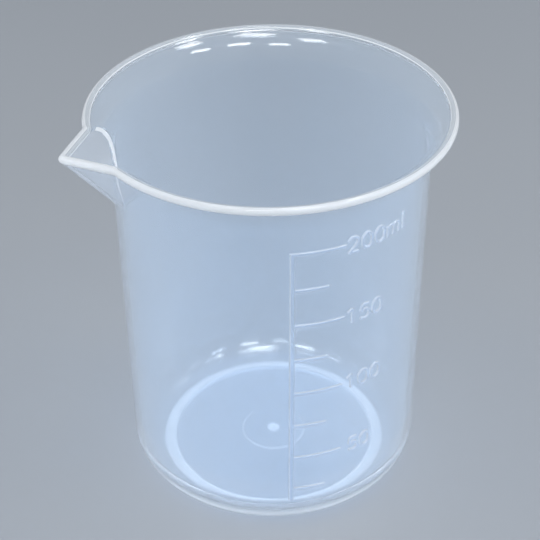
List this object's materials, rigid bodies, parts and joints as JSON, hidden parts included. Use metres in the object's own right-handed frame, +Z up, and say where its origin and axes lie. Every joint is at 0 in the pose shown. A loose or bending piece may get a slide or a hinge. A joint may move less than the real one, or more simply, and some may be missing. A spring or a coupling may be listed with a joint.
{
  "type": "measuring beaker",
  "caption": "Translucent moulded plastic beaker with a drafted round wall, flared and beaded lip, V-shaped pouring spout, foot ring and a raised volume scale.",
  "frame": {"origin": "middle of the footprint on the standing plane; the beaker's upright axis stands 3.3 mm from it towards +X, because the spout reaches further out than the rim", "axes": "+Z up along the beaker's axis, -X towards the spout's tip, -Y towards the graduation scale"},
  "size_m": [0.0806, 0.074, 0.085],
  "materials": {
    "body_plastic": "natural translucent polypropylene, smooth satin inside and out, cool milky tint",
    "scale_plastic": "the same plastic, raised 0.35 mm from the wall, a little paler at its edges"
  },
  "bodies": {
    "root": {"beaker_body": "body_plastic", "graduation_scale": "scale_plastic"}
  },
  "joints": []
}
